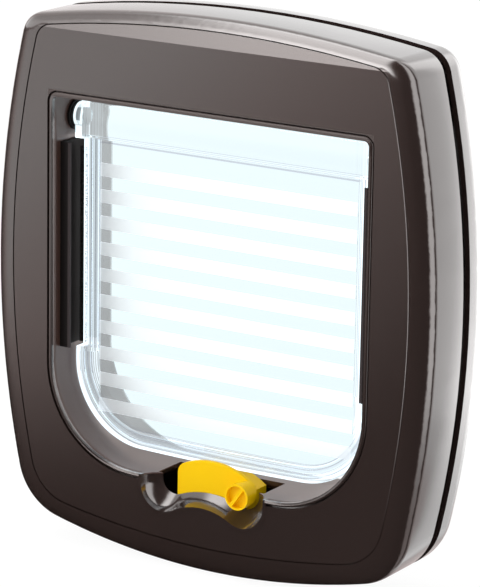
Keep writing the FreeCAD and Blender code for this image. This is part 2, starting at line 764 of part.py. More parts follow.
def flap_layer(name, front, length, inset, top):
    """One level of the flap: the wide foot and the narrower waist above it, stepped inwards."""
    shoulder = -flap_shoulder if inset is ZERO else -flap_shoulder - flap_shoulder_wall
    foot = extrude(name + "_foot", tub(
        name + "_foot_edge", front, flap_foot - inset, shoulder, flap_bottom - inset,
        opening_sill_radius, flap_head_corner, flap_corner - inset), length)
    waist = block(name + "_waist", inset - flap_waist, flap_waist - inset, front, front + length,
                  -flap_shoulder - flap_step * 6, top)
    return fuse(name, [foot, waist])


def flap():
    """The clear moulding: stepped rim, thin striped field, thick header and pivot stubs."""
    front = flap_plane - flap_half_depth
    back = flap_plane + flap_half_depth
    whole = flap_layer("flap_whole", front, flap_half_depth * 2, ZERO, header_bottom)
    shoulder = header_top - header_round
    flat = header_half_depth - header_round
    shapes = [whole,
              block("header_body", -flap_waist, flap_waist, flap_plane - header_half_depth,
                    flap_plane + header_half_depth, header_bottom - seat_in, shoulder),
              block("header_crown", -flap_waist, flap_waist, flap_plane - flat, flap_plane + flat,
                    shoulder - past, header_top)]
    for name, level in (("front", flap_plane - flat), ("back", flap_plane + flat)):
        shapes.append(rod("header_round_" + name, ALONG_WIDTH, (-flap_waist, level, shoulder),
                          header_round, flap_waist * 2))
    for side, name in ((-1, "left"), (1, "right")):
        inner = flap_waist - past if side > 0 else -flap_foot
        shapes.append(rod("knuckle_" + name, ALONG_WIDTH, (inner, flap_plane, pivot_height),
                          knuckle_radius, knuckle_width + past))
        shapes.append(block("arm_" + name, inner, inner + (knuckle_width + past),
                            flap_plane - arm_half_depth, flap_plane + arm_half_depth,
                            header_bottom - past, pivot_height))
        start = flap_foot if side > 0 else -flap_foot - stub_length
        shapes.append(rod("stub_" + name, ALONG_WIDTH, (start, flap_plane, pivot_height),
                          stub_radius, stub_length))
    for index in range(BAND_COUNT):
        top = band_top - band_pitch * index
        half = flap_waist - flap_step * 4 - band_end_gap
        shapes.append(block("band_%d" % (index + 1), -half, half,
                            flap_plane - field_thickness / 2 - band_relief, flap_plane,
                            top - band_pitch / 2, top))
    tools = []
    field_front = flap_plane - field_thickness / 2
    fall = (flap_half_depth - field_thickness / 2) / 4
    for step in range(1, 5):
        tools.append(flap_layer("front_step_%d" % step, front - past, fall * step + past,
                                flap_step * step, header_bottom - seat_in))
    for step in (1, 3):
        tools.append(flap_layer("back_step_%d" % step, back - (fall * (step + 1)),
                                fall * (step + 1) + past, flap_step * step, header_bottom - seat_in))
    rim_only = cut("flap_rim", whole, tools)
    field = flap_layer("flap_field", field_front, field_thickness, flap_step, header_bottom)
    solid = fuse("flap_solid", [rim_only, field] + shapes[1:])
    return finish("flap", solid)


def hinge_bush(name, side):
    """A bush with a ringed flange, pressed into the tunnel wall, that a pivot stub turns in."""
    wall = opening_half_width * side

    def along(part, inner, outer, radius):
        """A round bar from one distance beyond the tunnel wall to another, outwards positive."""
        low = wall + inner if side > 0 else wall - outer
        return rod("%s_%s" % (name, part), ALONG_WIDTH, (low, flap_plane, pivot_height), radius,
                   as_size(outer) - inner)

    body = along("body", ZERO, bush_length - bush_end_gap, bush_body_radius)
    flange = along("flange", -bush_flange, ZERO, bush_flange_radius)
    hole = along("bore", -bush_flange - past, stub_length, stub_radius + bush_clearance)
    ring = along("ring", -bush_flange - past, bush_ring_depth - bush_flange,
                 bush_flange_radius - bush_ring_edge)
    core = along("core", -bush_flange - past * 2, past,
                 bush_flange_radius - bush_ring_edge - bush_ring_width)
    groove = cut(name + "_groove", ring, [core])
    return finish(name, cut(name, fuse(name + "_solid", [body, flange]), [hole, groove]))


def draught_strip(name, side):
    """A channel on the tunnel wall whose flanges and pile close the gap beside the flap."""
    front = flap_plane - strip_half_depth
    back = flap_plane + strip_half_depth
    wall = opening_half_width
    parts = []
    for part, near, far, y0, y1 in (
            ("base", wall - strip_base, wall, front, back),
            ("front", strip_tip, wall, front, front + strip_flange),
            ("back", strip_tip, wall, back - strip_flange, back)):
        x0, x1 = (near, far) if side > 0 else (-far, -near)
        parts.append(block("%s_%s" % (name, part), x0, x1, y0, y1, -strip_bottom, strip_top))
    return finish(name, fuse(name, parts))


def brush_pile(name, side):
    """The pile that stands in the channel, in line with the flap."""
    near = strip_tip + pile_tip_gap
    far = opening_half_width - strip_base
    x0, x1 = (near, far) if side > 0 else (-far, -near)
    return finish(name, block(name, x0, x1, flap_plane - pile_half_depth,
                              flap_plane + pile_half_depth, -strip_bottom,
                              strip_top - pile_head_gap))


def blade_edge(name, depth, inset):
    """The blade's outline about the hub: an arc, a rounded left corner and straight flanks."""
    plan = drawing(name, depth)
    pivot_z = -lever_drop
    reach = lever_radius - inset
    corner_r = blade_corner - inset
    left = blade_left - inset
    right = blade_right - inset
    centre = (0.0, pivot_z.value)
    tip = (right.value, centre[1] + math.sqrt(reach.value ** 2 - right.value ** 2))
    corner_x = corner_r.value - left.value
    corner = (corner_x, centre[1] + math.sqrt((reach.value - corner_r.value) ** 2 - corner_x ** 2))
    stop = heading(centre, corner)
    flank = -opening_bottom - blade_flank
    chain = [(-left, flank), (-hub_radius * 0.7, pivot_z), (hub_radius * 0.7, pivot_z),
             (blade_right * 0.5, flank)]
    top = plan.arc(centre, reach.value, heading(centre, tip), stop)
    rounding = plan.arc(corner, corner_r.value, stop, math.pi)
    edge = plan.line((-left.value, corner[1]), (chain[0][0].value, chain[0][1].value))
    lines = []
    for first, second in zip(chain, chain[1:]):
        lines.append(plan.line((first[0].value, first[1].value),
                               (second[0].value, second[1].value)))
    lines.append(plan.line((chain[-1][0].value, chain[-1][1].value), tip))
    plan.tangent(top, END, rounding, START)
    plan.tangent(rounding, END, edge, START)
    plan.rule("Vertical", edge)
    loop = [edge] + lines
    for first, second in zip(loop, loop[1:]):
        plan.rule("Coincident", first, END, second, START)
    plan.rule("Coincident", lines[-1], END, top, START)
    plan.at(top, CENTRE, ZERO, pivot_z)
    plan.radius(top, reach)
    plan.radius(rounding, corner_r)
    plan.measure(right, "DistanceX", -1, 1, top, START)
    for line, point in zip(lines, chain):
        plan.at(line, START, point[0], point[1])
    return plan.sketch


def common(name, shapes):
    body = doc.addObject("Part::MultiCommon", name)
    body.Shapes = shapes
    return body


def lever_knob():
    """A round knob with a raised rim and a finger bar across it, pointing away from the hub."""
    up = knob_up - lever_drop
    front = blade_front - knob_reach
    disc = rod("knob_disc", ALONG_DEPTH, (knob_across, front, up), knob_radius, knob_reach + edge_round * 2)
    dish = rod("knob_dish", ALONG_DEPTH, (knob_across, front - past, up), knob_radius - knob_rim,
               knob_dish + past)
    bar = doc.addObject("Part::Box", "knob_bar")
    bar.Placement = Placement(Vector(0, 0, 0), Rotation(Vector(0, -1, 0), knob_turn.value))
    bar.setExpression("Placement.Rotation.Angle", knob_turn.formula + " * 1 deg")
    bind(bar, "Length", knob_radius * 2)
    bind(bar, "Height", knob_bar)
    bind(bar, "Width", knob_dish + past * 2)
    turn = math.radians(knob_turn.value)
    along = Size(math.cos(turn), "cos(%s * 1 deg)" % knob_turn.formula)
    rise = Size(math.sin(turn), "sin(%s * 1 deg)" % knob_turn.formula)
    bind(bar, "Placement.Base.x", knob_across - knob_radius * along + knob_bar * 0.5 * rise)
    bind(bar, "Placement.Base.y", front - past * 1.5)
    bind(bar, "Placement.Base.z", up - knob_radius * rise - knob_bar * 0.5 * along)
    return cut("knob", disc, [cut("knob_dishes", dish, [bar])])


def lock_lever():
    """One moulding: blade, arched drum behind it that passes under the flap, hub and knob."""
    pivot_z = -lever_drop
    blade = extrude("blade", blade_edge("blade_root", blade_front + edge_round, ZERO),
                    blade_thickness - edge_round)
    brow = loft("blade_brow", [blade_edge("blade_brow_edge", blade_front, edge_round),
                               blade_edge("blade_brow_root", blade_front + edge_round, ZERO)],
                ruled=True)
    outer = rod("drum_outer", ALONG_DEPTH, (ZERO, blade_back - seat_in, pivot_z), drum_radius, drum_depth)
    inner = rod("drum_inner", ALONG_DEPTH, (ZERO, blade_back - past, pivot_z),
                drum_radius - drum_wall, drum_depth + past * 2)
    right = blade_right - drum_setback
    foot = -opening_bottom - blade_flank
    keep = block("drum_keep", -blade_left, right, blade_back - past, blade_back + drum_depth,
                 foot, pivot_z + drum_radius + past)
    solids = [blade, brow, common("drum_arch", [cut("drum_ring", outer, [inner]), keep])]
    for name, x0, x1 in (("left", -blade_left, drum_wall - blade_left),
                         ("right", right - drum_wall, right)):
        leg = block("drum_leg_block_" + name, x0, x1, blade_back - seat_in, blade_back + drum_depth,
                    foot, pivot_z + drum_radius)
        solids.append(common("drum_leg_" + name, [leg, outer]))
    solids.append(rod("hub", ALONG_DEPTH, (ZERO, blade_front, pivot_z), hub_radius,
                      blade_thickness + drum_depth))
    solids.append(lever_knob())
    bore = rod("hub_bore", ALONG_DEPTH, (ZERO, blade_front - past, pivot_z),
               post_radius + post_clearance, blade_thickness + drum_depth + past * 2)
    return finish("lock_lever", cut("lock_lever", fuse("lever_solid", solids), [bore]))


def round_body(name, profile, place):
    """A PartDesign body turned about its own upright sketch axis, which lies along the depth."""
    body = doc.addObject("PartDesign::Body", name)
    plane = [item for item in body.Origin.OriginFeatures if item.Role == "XY_Plane"][0]
    sketch = body.newObject("Sketcher::SketchObject", name + "_profile")
    sketch.AttachmentSupport = [(plane, "")]
    sketch.MapMode = "FlatFace"
    outline(Drawing(sketch), profile)
    turned = body.newObject("PartDesign::Revolution", name + "_turned")
    turned.Profile = sketch
    turned.ReferenceAxis = (sketch, ["V_Axis"])
    turned.Angle = 360
    body.Tip = turned
    for axis, amount in zip("xyz", place):
        bind(body, "Placement.Base.%s" % axis, amount)
    return body


def clamp_screw(index, across, up):
    """A pan-head screw from the front boss's seat into the rear frame's boss."""
    seat = cover_back + screw_seat
    point = screw_radius * 0.6
    profile = [(ZERO, -screw_head), (screw_head_radius - screw_head_edge, -screw_head),
               (screw_head_radius, -screw_head * 0.5), (screw_head_radius, ZERO),
               (screw_radius, ZERO), (screw_radius, screw_length - screw_point),
               (point, screw_length), (ZERO, screw_length)]
    name = "clamp_screw_%d" % (index + 1)
    body = round_body(name, profile, (across, seat, up))
    for turn in range(2):
        plane = [item for item in body.Origin.OriginFeatures if item.Role == "XZ_Plane"][0]
        sketch = body.newObject("Sketcher::SketchObject", "%s_recess_%d" % (name, turn))
        sketch.AttachmentSupport = [(plane, "")]
        sketch.MapMode = "FlatFace"
        wide, tall = ((recess_reach, recess_half_width), (recess_half_width, recess_reach))[turn]
        outline(Drawing(sketch), [(-wide, -tall), (wide, -tall), (wide, tall), (-wide, tall)])
        sketch.AttachmentOffset = Placement(Vector(0, 0, screw_head.value), Rotation())
        sketch.setExpression("AttachmentOffset.Base.z", screw_head.formula)
        pocket = body.newObject("PartDesign::Pocket", "%s_pocket_%d" % (name, turn))
        pocket.Profile = sketch
        bind(pocket, "Length", recess_depth)
        body.Tip = pocket
    return finish(name, body)


def lever_retainer():
    """The washer and the pan-head screw that hold the lever on its post."""
    inner = pilot_radius + washer_play
    ring = [(inner, ZERO), (washer_radius, ZERO), (washer_radius, washer_thickness),
            (inner, washer_thickness)]
    finish("lever_washer", round_body("lever_washer", ring, (ZERO, post_end, -lever_drop)))
    under_head = pilot_depth - past + washer_thickness
    shank = pilot_radius
    head = [(ZERO, ZERO), (shank, ZERO), (shank, under_head), (lever_screw_head, under_head),
            (lever_screw_head, under_head + screw_head * 0.5),
            (lever_screw_head - screw_head_edge, under_head + screw_head), (ZERO, under_head + screw_head)]
    start = post_end + washer_thickness - under_head
    finish("lever_screw", round_body("lever_screw", head, (ZERO, start, -lever_drop)))


front_frame()
front_cover_plate()
rear_frame()
flap()
hinge_bush("hinge_bush_left", -1)
hinge_bush("hinge_bush_right", 1)
draught_strip("draught_strip_left", -1)
draught_strip("draught_strip_right", 1)
brush_pile("brush_pile_left", -1)
brush_pile("brush_pile_right", 1)
lock_lever()
lever_retainer()
for place_index, (place_x, place_z) in enumerate(screw_places()):
    clamp_screw(place_index, place_x, place_z)

doc.recompute()

for item in doc.Objects:
    if "Invalid" in item.State or "Error" in item.State:
        raise RuntimeError("%s did not build: %s" % (item.Name, item.State))
for node_name, node in nodes:
    if node.Shape.isNull() or not node.Shape.isValid():
        raise RuntimeError("%s has no valid shape" % node_name)

os.makedirs("parts", exist_ok=True)
for node_name, node in nodes:
    node.Shape.exportStep(os.path.join("parts", node_name + ".step"))
    print("%-22s solids %d  volume %.0f" % (node_name, len(node.Shape.Solids), node.Shape.Volume))
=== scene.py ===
"""Looks of a cat flap for a door: glossy brown frames, a clear flap, a yellow lock lever,
dark draught strips with pile, the stage that it is shown on and the camera.

Every length is in metres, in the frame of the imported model: +Z up, -Y towards the room.
"""
import math

import bmesh
import bpy
from bpy.props import FloatProperty, FloatVectorProperty, IntProperty, PointerProperty
from mathutils import Matrix, Vector


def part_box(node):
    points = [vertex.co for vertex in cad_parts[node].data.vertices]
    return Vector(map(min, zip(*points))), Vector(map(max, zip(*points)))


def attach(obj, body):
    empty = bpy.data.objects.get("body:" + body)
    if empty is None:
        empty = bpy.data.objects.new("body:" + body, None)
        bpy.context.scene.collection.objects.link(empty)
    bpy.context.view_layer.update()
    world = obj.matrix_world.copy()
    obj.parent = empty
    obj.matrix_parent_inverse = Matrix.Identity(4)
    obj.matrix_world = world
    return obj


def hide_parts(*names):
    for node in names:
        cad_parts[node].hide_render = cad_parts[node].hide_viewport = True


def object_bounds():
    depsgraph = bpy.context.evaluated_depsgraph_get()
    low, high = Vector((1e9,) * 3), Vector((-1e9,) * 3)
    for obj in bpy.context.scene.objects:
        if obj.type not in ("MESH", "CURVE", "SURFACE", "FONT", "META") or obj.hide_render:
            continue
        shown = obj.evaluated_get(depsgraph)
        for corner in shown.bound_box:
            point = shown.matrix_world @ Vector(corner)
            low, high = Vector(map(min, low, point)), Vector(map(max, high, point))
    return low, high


bl_info = {
    "name": "Cat flap",
    "version": (1, 0, 0),
    "blender": (4, 5, 0),
    "location": "View3D > Sidebar > Cat flap",
    "description": "Builds the finishes, the pile and the stage of a cat flap on its packed frame",
    "category": "Object",
}

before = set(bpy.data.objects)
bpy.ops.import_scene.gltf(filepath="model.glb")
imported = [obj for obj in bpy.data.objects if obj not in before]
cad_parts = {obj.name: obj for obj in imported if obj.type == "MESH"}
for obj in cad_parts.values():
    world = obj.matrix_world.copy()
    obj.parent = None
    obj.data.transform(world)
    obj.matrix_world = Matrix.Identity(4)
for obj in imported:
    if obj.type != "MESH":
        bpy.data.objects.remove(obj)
cad_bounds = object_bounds()
FRAME_BODY = "frame"
FLAP_BODY = "swinging_flap"
LEVER_BODY = "lever"
CREASE = math.radians(28.0)
WHITE = (1.0, 1.0, 1.0, 1.0)
BLACK = (0.0, 0.0, 0.0, 1.0)


def opaque(colour, red=1.0, green=1.0, blue=1.0):
    """A colour with its parts scaled and nothing see-through."""
    return (colour[0] * red, colour[1] * green, colour[2] * blue, 1.0)


class Socket:
    """A node socket whose arithmetic adds nodes to its tree."""

    def __init__(self, tree, socket):
        self.tree = tree
        self.socket = socket

    def __add__(self, other):
        return self.tree.math("ADD", self, other)

    def __radd__(self, other):
        return self.tree.math("ADD", other, self)

    def __sub__(self, other):
        return self.tree.math("SUBTRACT", self, other)

    def __rsub__(self, other):
        return self.tree.math("SUBTRACT", other, self)

    def __mul__(self, other):
        return self.tree.math("MULTIPLY", self, other)

    def __rmul__(self, other):
        return self.tree.math("MULTIPLY", other, self)

    def __truediv__(self, other):
        return self.tree.math("DIVIDE", self, other)

    def __rtruediv__(self, other):
        return self.tree.math("DIVIDE", other, self)

    def __gt__(self, other):
        return self.tree.math("GREATER_THAN", self, other)

    def __lt__(self, other):
        return self.tree.math("LESS_THAN", self, other)


class Tree:
    """A shader node tree, with one way to add any node."""

    def __init__(self, tree):
        self.nodes = tree.nodes
        self.links = tree.links

    def add(self, kind, settings=None, values=None, out=0):
        """Add a node: settings first, then the values or links of its sockets."""
        node = self.nodes.new(kind)
        for key, value in (settings or {}).items():
            setattr(node, key, value)
        for key, value in (values or {}).items():
            self.feed(node.inputs[key], value)
        return Socket(self, node.outputs[out])

    def feed(self, target, value):
        if isinstance(value, Socket):
            self.links.new(value.socket, target)
        else:
            target.default_value = value

    def ray(self, *kinds):
        """One where the ray that looks is of one of these kinds, else zero."""
        path = self.nodes.new("ShaderNodeLightPath")
        total = Socket(self, path.outputs["Is %s Ray" % kinds[0]])
        for kind in kinds[1:]:
            total = total + Socket(self, path.outputs["Is %s Ray" % kind])
        return total

    def place(self):
        """Object coordinates, as a vector and as its three numbers."""
        where = self.add("ShaderNodeTexCoord", out=3)
        split = self.nodes.new("ShaderNodeSeparateXYZ")
        self.links.new(where.socket, split.inputs[0])
        return where, Socket(self, split.outputs[0]), Socket(self, split.outputs[1]), \
            Socket(self, split.outputs[2])

    def math(self, operation, *values):
        return self.add("ShaderNodeMath", {"operation": operation}, dict(enumerate(values)))

    def soft_step(self, value, low, high, first=0.0, last=1.0):
        """A smooth rise or fall from one amount to another."""
        return self.add("ShaderNodeMapRange", {"interpolation_type": "SMOOTHSTEP"}, {
            "Value": value, "From Min": low, "From Max": high, "To Min": first, "To Max": last})

    def between(self, value, rise, fall):
        """One between a soft rise and a soft fall, else zero."""
        return self.soft_step(value, *rise) * self.soft_step(value, *fall, 1.0, 0.0)

    def noise(self, where, scale, detail):
        return self.add("ShaderNodeTexNoise", {}, {"Vector": where, "Scale": scale, "Detail": detail})

    def ramp(self, factor, stops):
        """A ramp from pairs of position and colour."""
        node = self.nodes.new("ShaderNodeValToRGB")
        band = node.color_ramp
        while len(band.elements) < len(stops):
            band.elements.new(0.5)
        for element, (position, colour) in zip(band.elements, stops):
            element.position = position
            element.color = opaque(colour)
        self.links.new(factor.socket, node.inputs[0])
        return Socket(self, node.outputs[0])

    def blend(self, factor, first, second):
        """Mix two colours."""
        node = self.nodes.new("ShaderNodeMix")
        node.data_type = "RGBA"
        self.feed(node.inputs[0], factor)
        self.feed(node.inputs[6], first)
        self.feed(node.inputs[7], second)
        return Socket(self, node.outputs[2])

    def bump(self, height, strength, distance):
        return self.add("ShaderNodeBump", {}, {"Height": height, "Strength": strength,
                                                "Distance": distance})


class Finish(Tree):
    """A material's node tree around its Principled shader."""

    def __init__(self, name):
        self.material = bpy.data.materials.new(name)
        self.material.use_nodes = True
        super().__init__(self.material.node_tree)
        self.shader = self.nodes["Principled BSDF"]
        self.output = self.nodes["Material Output"]

    def set(self, **constants):
        """Set the shader's own sockets; underscores stand for spaces."""
        for key, value in constants.items():
            self.feed(self.shader.inputs[key.replace("_", " ")], value)


def smooth_copy(node, body, material):
    """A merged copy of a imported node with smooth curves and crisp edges, shown in its place."""
    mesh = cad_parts[node].data.copy()
    mesh.name = node + "_surface"
    work = bmesh.new()
    work.from_mesh(mesh)
    bmesh.ops.remove_doubles(work, verts=work.verts, dist=1e-6)
    for face in work.faces:
        face.smooth = True
    for edge in work.edges:
        edge.smooth = len(edge.link_faces) == 2 and edge.calc_face_angle(0.0) < CREASE
    work.to_mesh(mesh)
    work.free()
    if mesh.has_custom_normals:
        mesh.attributes.remove(mesh.attributes["custom_normal"])
    mesh.materials.clear()
    mesh.materials.append(material)
    piece = bpy.data.objects.new(node + "_shown", mesh)
    bpy.context.scene.collection.objects.link(piece)
    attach(piece, body)
    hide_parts(node)


def brown_plastic(sizes):
    """Glossy dark brown moulding, less polished on the tunnel's walls and under the lip; the tunnel's walls
    also get a paler brown, which is a painted sheen. The lip's soft edge and the plate's top part, which
    leans back a little, are drawn by the normal."""
    finish = Finish("brown_plastic")
    where, x, y, z = finish.place()
    aside = finish.math("ABSOLUTE", x)
    before_tunnel = y < sizes.tunnel_front

    over = finish.math("MAXIMUM", aside - (sizes.opening_half - sizes.opening_corner), 0.0)
    under = finish.math("MAXIMUM", sizes.opening_corner - sizes.opening_bottom - z, 0.0)
    beyond = finish.math("MAXIMUM", finish.math("SQRT", over * over + under * under)
                         - sizes.opening_corner, z - sizes.opening_top)
    wall_slack = 0.0004
    sleeve_slack = 0.004
    # inside marks the tunnel's walls: less polished, and also painted a paler brown as a painted sheen.
    inside = (beyond < wall_slack + (y > sizes.sleeve_front) * sleeve_slack) \
        * (y > sizes.tunnel_front) * (y < sizes.tunnel_back)
    crown = (z > sizes.opening_top) * (z < sizes.opening_top + sizes.lip * 1.3) \
        * (aside < sizes.tunnel_half) * before_tunnel
    matt = finish.math("MAXIMUM", inside, crown)

    face_part = finish.math("MAXIMUM", 1.0 - beyond / sizes.edge_round, 0.0)
    wall_part = finish.math("MAXIMUM", (sizes.edge_back - y) / (sizes.edge_round * 3.0), 0.0)
    fade_start, fade_end = sizes.opening_top - 0.012, sizes.opening_top - 0.003
    plain = finish.math("MAXIMUM", aside > sizes.scoop_half, z > 0.0) \
        * finish.soft_step(z, fade_start, fade_end, 1.0, 0.0)
    edge = (face_part * face_part * before_tunnel
            + wall_part * wall_part * 2.2 * (beyond < sizes.edge_round * 0.3)) \
        * plain * (beyond > -0.5 * sizes.edge_round) * (-0.6 * sizes.edge_round)

    rise = z + sizes.lean_arc_drop
    within = x * x + rise * rise < (sizes.lean_arc_drop + sizes.lean_arc_top) ** 2
    lean = finish.math("MAXIMUM", z - sizes.lean_start, 0.0) * within * (-1.0 * sizes.lean)

    broad = finish.noise(where, 9.0, 2.0)
    fine = finish.noise(where, 420.0, 3.0)
    grain_height = 0.000004
    moulded = finish.blend(broad, opaque(sizes.brown), opaque(sizes.brown, 1.12, 1.06, 1.04))
    # The tunnel's walls are painted a paler brown: a painted sheen that stands in for the light they mirror,
    # not a colour of the plastic.
    finish.set(Base_Color=finish.blend(inside, moulded, opaque(sizes.brown, 2.6, 2.1, 1.9)),
               Roughness=sizes.gloss * (0.9 + broad * 0.4) + inside * 0.16 + crown * 0.36,
               Normal=finish.bump(fine * grain_height + lean + edge, 1.0, 1.0),
               IOR=1.5, Specular_IOR_Level=0.8, Specular_Tint=(1.0, 0.92, 0.9, 1.0),
               Coat_Weight=1.0 - matt * 0.97, Coat_Roughness=0.06)
    return finish.material


def clear_plastic(sizes):
    """Clear moulding with frosted bands across its field and a stepped rim. The light that the rim gathers
    is a painted glow with painted streaks, and the field and the bands get a fainter painted glow; the fine
    lines along the rim and the header's lower edge are painted shade."""
    finish = Finish("clear_plastic")
    where, x, y, z = finish.place()
    aside = finish.math("ABSOLUTE", x)
    front = y < sizes.flap_plane
    below_header = z < sizes.header_bottom
    between_rims = aside < sizes.rim_inside

    step = (sizes.band_top - z) / sizes.band_pitch
    count = (step > 0.0) * (step < float(sizes.bands))
    frosted = (finish.math("FRACT", step) < 0.5) * count * (aside < sizes.band_half_width) * front

    thick = (finish.math("ABSOLUTE", y - sizes.flap_plane) > sizes.field_depth) * below_header
    header_share = 0.3
    rim = finish.math("MAXIMUM", thick, (aside > sizes.rim_inside) * finish.soft_step(
        z, sizes.header_bottom - 0.0004, sizes.header_bottom, 1.0, header_share))

    wide = z < sizes.foot_start
    over = finish.math("MAXIMUM", aside - (sizes.foot - sizes.foot_corner), 0.0)
    under = finish.math("MAXIMUM", sizes.foot_bottom + sizes.foot_corner + x * x * sizes.foot_bow - z, 0.0)
    round_in = sizes.foot_corner - finish.math("SQRT", over * over + under * under)
    inset = wide * round_in + (1.0 - wide) * (sizes.waist - aside)

    across = finish.add("ShaderNodeCombineXYZ", {}, {0: inset * 1000.0, 1: wide * 7.0, 2: 0.0})
    under_header = (z > sizes.header_bottom - sizes.ledge_pitch * 2.0) * between_rims
    streak = finish.soft_step(finish.noise(across, 1.35, 2.0), 0.42, 0.6) * (1.0 - under_header)
    # Painted shade: dark lines at the rim's steps and along the header's lower edge, standing in for the
    # light that the steps turn away.
    steps = finish.math("FRACT", inset / sizes.rim_step + 0.1)
    upright = (steps < 0.2) * (inset > sizes.rim_step * 0.5) * (inset < sizes.rim_step * 4.3) \
        * below_header
    ledge = finish.math("FRACT", (sizes.header_bottom - z) / sizes.ledge_pitch + 0.12)
    level = (ledge < 0.24) * (z > sizes.header_bottom - sizes.ledge_pitch * 1.3) \
        * (z < sizes.header_bottom + sizes.ledge_pitch * 0.3) * between_rims
    line = finish.math("MAXIMUM", upright, level)

    # Painted shade in the base colour: the lines, and streaks across the rim, take the dark edge colour.
    shade = finish.math("MAXIMUM", line, streak * rim * 0.45)
    # Painted glow: the rim, and more faintly the field and the frosted bands, glow by emission in place of
    # the light the clear plastic gathers and mirrors.
    lit = rim * (1.0 - streak * 0.75) * (1.0 - line * 0.6)
    painted_veil_glow = front * (sizes.field_glow + frosted * (sizes.frost_glow - sizes.field_glow))
    glow = finish.math("MAXIMUM", lit, painted_veil_glow)
    painted_glow_colour = (0.86, 0.95, 1.0, 1.0)
    tint = finish.blend(frosted, opaque(sizes.clear), opaque(sizes.frost))
    grain = finish.noise(where, 2600.0, 2.0)
    finish.set(Base_Color=finish.blend(shade, tint, opaque(sizes.edge)),
               Roughness=frosted * (0.5 + grain * 0.1) + 0.02,
               Normal=finish.bump(grain * frosted, 0.08, 0.0001),
               Emission_Color=finish.blend(glow, BLACK, painted_glow_colour), Emission_Strength=sizes.rim_glow,
               Transmission_Weight=1.0, IOR=1.49)
    return finish.material


def yellow_plastic(sizes):
    """Softly shining yellow moulding."""
    finish = Finish("yellow_plastic")
    where, _, _, _ = finish.place()
    broad = finish.noise(where, 30.0, 2.0)
    fine = finish.noise(where, 900.0, 2.0)
    finish.set(Base_Color=finish.blend(broad, opaque(sizes.yellow), opaque(sizes.yellow, 0.97, 0.95, 0.9)),
               Roughness=0.36 + broad * 0.08, Normal=finish.bump(fine, 0.03, 0.0001),
               Specular_IOR_Level=0.12)
    return finish.material


def dark_plastic(sizes):
    """Nearly black plastic, with a painted highlight along the strips' free edges."""
    finish = Finish("dark_plastic")
    where, x, _, z = finish.place()
    broad = finish.noise(where, 40.0, 2.0)
    bush_gap = 0.002
    # Painted highlight: the strips' free edges are painted paler to stand in for the light they catch.
    tip = (finish.math("ABSOLUTE", x) < sizes.strip_tip) * (z < sizes.header_bottom - bush_gap)
    shade = finish.blend(broad, opaque(sizes.dark), opaque(sizes.dark, 1.4, 1.35, 1.3))
    finish.set(Base_Color=finish.blend(tip, shade, opaque(sizes.painted_tip_highlight)),
               Roughness=0.5 + broad * 0.12, Specular_IOR_Level=0.12)
    return finish.material


def pile_fibre():
    """Dull black fibres with paler ones among them."""
    finish = Finish("pile")
    where, _, _, _ = finish.place()
    speckle = finish.noise(where, 1500.0, 1.0)
    finish.set(Base_Color=finish.ramp(speckle, [(0.35, (0.008, 0.007, 0.007)), (0.7, (0.035, 0.03, 0.028))]),
               Roughness=0.85)
    return finish.material


def plated_steel():
    """Zinc-plated steel with faint wear."""
    finish = Finish("steel")
    where, _, _, _ = finish.place()
    worn = finish.noise(where, 260.0, 3.0)
    finish.set(Base_Color=finish.ramp(worn, [(0.3, (0.5, 0.5, 0.52)), (0.7, (0.66, 0.66, 0.68))]),
               Roughness=0.28 + worn * 0.15, Metallic=1.0)
    return finish.material


